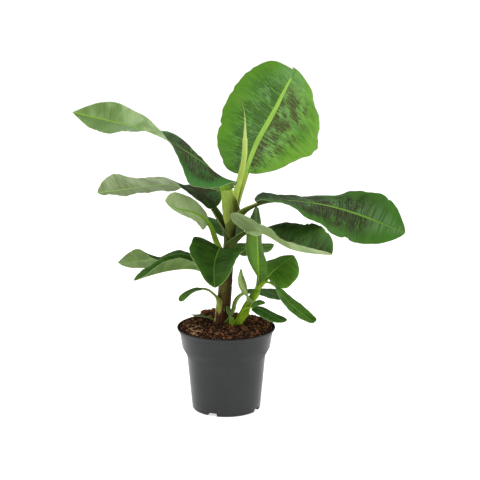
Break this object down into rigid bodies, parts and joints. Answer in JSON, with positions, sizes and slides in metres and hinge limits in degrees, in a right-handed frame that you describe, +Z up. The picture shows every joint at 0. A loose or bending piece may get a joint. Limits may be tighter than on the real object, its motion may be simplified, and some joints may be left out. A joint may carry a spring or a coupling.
{
  "type": "potted banana plant",
  "caption": "Young dwarf banana plant with a leaning pseudostem, suckers and broad blotched leaves, in a round grey nursery pot.",
  "frame": {"origin": "centre of the pot's flat underside, at the level it stands on", "axes": "+Z up out of the pot, along the plant's height; -Y towards the side from which the plant is usually seen, with the small shoot in front of the main stem; +X towards the larger sucker"},
  "size_m": [0.5651, 0.3676, 0.5881],
  "materials": {
    "leaf_blade": "satin",
    "petiole_skin": "satin",
    "stem_skin": "satin",
    "potting_mix": "matte",
    "pot_plastic": "satin"
  },
  "bodies": {
    "root": {"blade_back": "leaf_blade", "blade_back_right": "leaf_blade", "blade_front": "leaf_blade", "blade_low_left_arching": "leaf_blade", "blade_low_left_back": "leaf_blade", "blade_low_left_front": "leaf_blade", "blade_low_resting": "leaf_blade", "blade_low_right_back": "leaf_blade", "blade_lower_right": "leaf_blade", "blade_mid_left_base": "leaf_blade", "blade_mid_left_end": "leaf_blade", "blade_right": "leaf_blade", "blade_shoot": "leaf_blade", "blade_small_left": "leaf_blade", "blade_sucker_bract": "leaf_blade", "blade_sucker_drooping": "leaf_blade", "blade_sucker_folded": "leaf_blade", "blade_sucker_low": "leaf_blade", "blade_sucker_round": "leaf_blade", "blade_sucker_upright": "leaf_blade", "blade_top": "leaf_blade", "blade_upper_left_base": "leaf_blade", "blade_upper_left_end": "leaf_blade", "petiole_back": "petiole_skin", "petiole_back_right": "petiole_skin", "petiole_front": "petiole_skin", "petiole_low_left_arching": "petiole_skin", "petiole_low_left_back": "petiole_skin", "petiole_low_left_front": "petiole_skin", "petiole_low_right_back": "petiole_skin", "petiole_lower_right": "petiole_skin", "petiole_mid_left": "petiole_skin", "petiole_right": "petiole_skin", "petiole_small_left": "petiole_skin", "petiole_sucker_bract": "petiole_skin", "petiole_sucker_drooping": "petiole_skin", "petiole_sucker_folded": "petiole_skin", "petiole_sucker_low": "petiole_skin", "petiole_sucker_round": "petiole_skin", "petiole_sucker_upright": "petiole_skin", "petiole_top": "petiole_skin", "petiole_upper_left": "petiole_skin", "pot": "pot_plastic", "pseudostem": "stem_skin", "shoot_stem": "petiole_skin", "soil": "potting_mix", "spear_leaf": "petiole_skin", "sucker_stem": "petiole_skin"}
  },
  "joints": []
}
